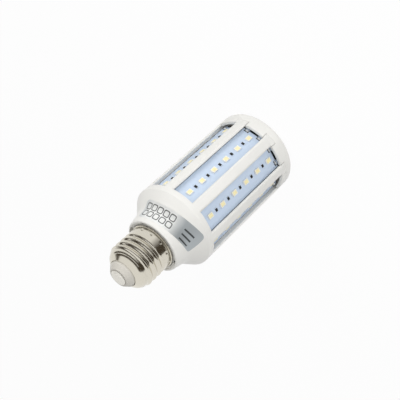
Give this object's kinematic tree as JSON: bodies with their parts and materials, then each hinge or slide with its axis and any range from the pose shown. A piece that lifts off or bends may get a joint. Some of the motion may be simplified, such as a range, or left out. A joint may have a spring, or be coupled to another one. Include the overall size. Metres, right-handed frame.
{
  "type": "corn led bulb",
  "caption": "Cylindrical corn LED bulb: a white slotted cage over upright LED strips, a flat end cap with openings over more LEDs, and a flared neck on an E27 screw cap.",
  "frame": {"origin": "centre of the flat head face of the end cap, on which the bulb stands", "axes": "+Z along the axis from the head to the centre contact of the screw cap; the first LED strip faces -Y"},
  "size_m": [0.0492, 0.0492, 0.1189],
  "materials": {
    "white_plastic": "satin moulded plastic",
    "nickel": "bright nickel-plated shell",
    "insulator": "pale grey moulded insulator",
    "contact_metal": "tinned contact",
    "board_white": "white solder mask",
    "led_case": "white LED case",
    "phosphor": "yellow phosphor",
    "chip_black": "black chip resistor",
    "solder": "solder",
    "board_green": "green solder mask",
    "film_case": "yellow film capacitor case",
    "can_sleeve": "dark capacitor sleeve",
    "chip_case": "black moulded case",
    "fuse_body": "glazed fuse resistor",
    "wire_red": "red wire sleeve",
    "wire_black": "black wire sleeve"
  },
  "bodies": {
    "root": {"housing": "white_plastic", "end_cap": "white_plastic", "screw_shell": "nickel", "cap_insulator": "insulator", "centre_contact": "contact_metal", "strip_board_1": "board_white", "strip_leds_1": "led_case", "strip_phosphors_1": "phosphor", "strip_resistors_1": "chip_black", "strip_board_2": "board_white", "strip_leds_2": "led_case", "strip_phosphors_2": "phosphor", "strip_resistors_2": "chip_black", "strip_board_3": "board_white", "strip_leds_3": "led_case", "strip_phosphors_3": "phosphor", "strip_resistors_3": "chip_black", "strip_board_4": "board_white", "strip_leds_4": "led_case", "strip_phosphors_4": "phosphor", "strip_resistors_4": "chip_black", "strip_board_5": "board_white", "strip_leds_5": "led_case", "strip_phosphors_5": "phosphor", "strip_resistors_5": "chip_black", "strip_board_6": "board_white", "strip_leds_6": "led_case", "strip_phosphors_6": "phosphor", "strip_resistors_6": "chip_black", "strip_board_7": "board_white", "strip_leds_7": "led_case", "strip_phosphors_7": "phosphor", "strip_resistors_7": "chip_black", "strip_board_8": "board_white", "strip_leds_8": "led_case", "strip_phosphors_8": "phosphor", "strip_resistors_8": "chip_black", "top_board": "board_white", "solder_joints": "solder", "top_leds": "led_case", "top_phosphors": "phosphor", "driver_board": "board_green", "dropper_capacitor": "film_case", "smoothing_capacitor": "can_sleeve", "bridge_rectifier": "chip_case", "fuse_resistor": "fuse_body", "bleed_resistors": "chip_black", "contact_lead": "wire_black", "shell_lead": "wire_red", "supply_lead_red": "wire_red", "supply_lead_black": "wire_black"}
  },
  "joints": []
}
